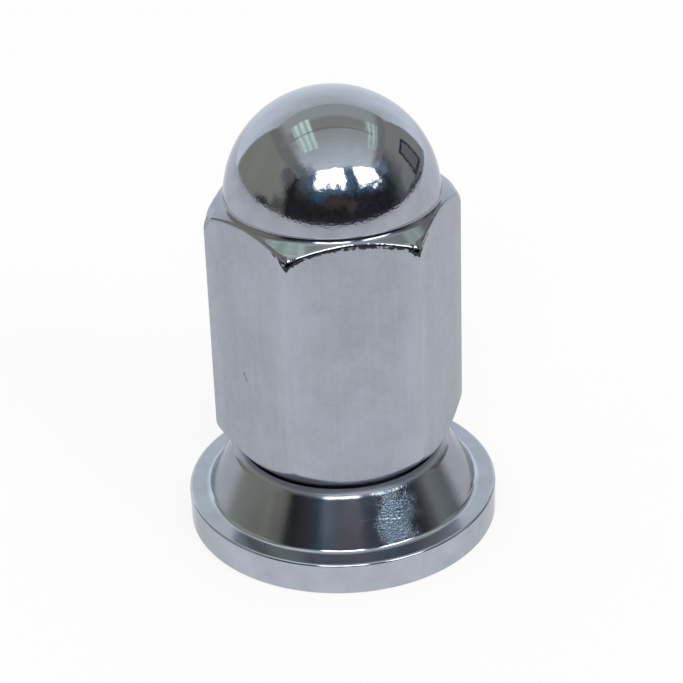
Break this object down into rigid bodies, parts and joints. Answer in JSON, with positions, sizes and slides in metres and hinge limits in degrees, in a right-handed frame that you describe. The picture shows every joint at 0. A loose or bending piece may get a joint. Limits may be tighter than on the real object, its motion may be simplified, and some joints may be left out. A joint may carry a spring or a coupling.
{
  "type": "lug nut",
  "caption": "Closed-end hexagon lug nut with a polished dome and a captive cone-shaped flange washer that turns on its shank.",
  "frame": {"origin": "centre of the washer's flat bearing face, on the axis of the stud", "axes": "+Z along the stud's axis from the wheel to the top of the dome, and -Y square to one of the flats"},
  "size_m": [0.03, 0.03, 0.0446],
  "materials": {
    "nut_chrome": "chrome plate over drawn flats, polished dome",
    "washer_chrome": "chrome plate over fine turned rings"
  },
  "bodies": {
    "nut": {"nut_body": "nut_chrome"},
    "washer": {"cone_washer": "washer_chrome"}
  },
  "joints": [
    {"name": "washer_spin", "type": "hinge", "parent": "nut", "child": "washer", "pos_m": [0, 0, 0], "axis": [0, 0, 1], "continuous": true}
  ]
}
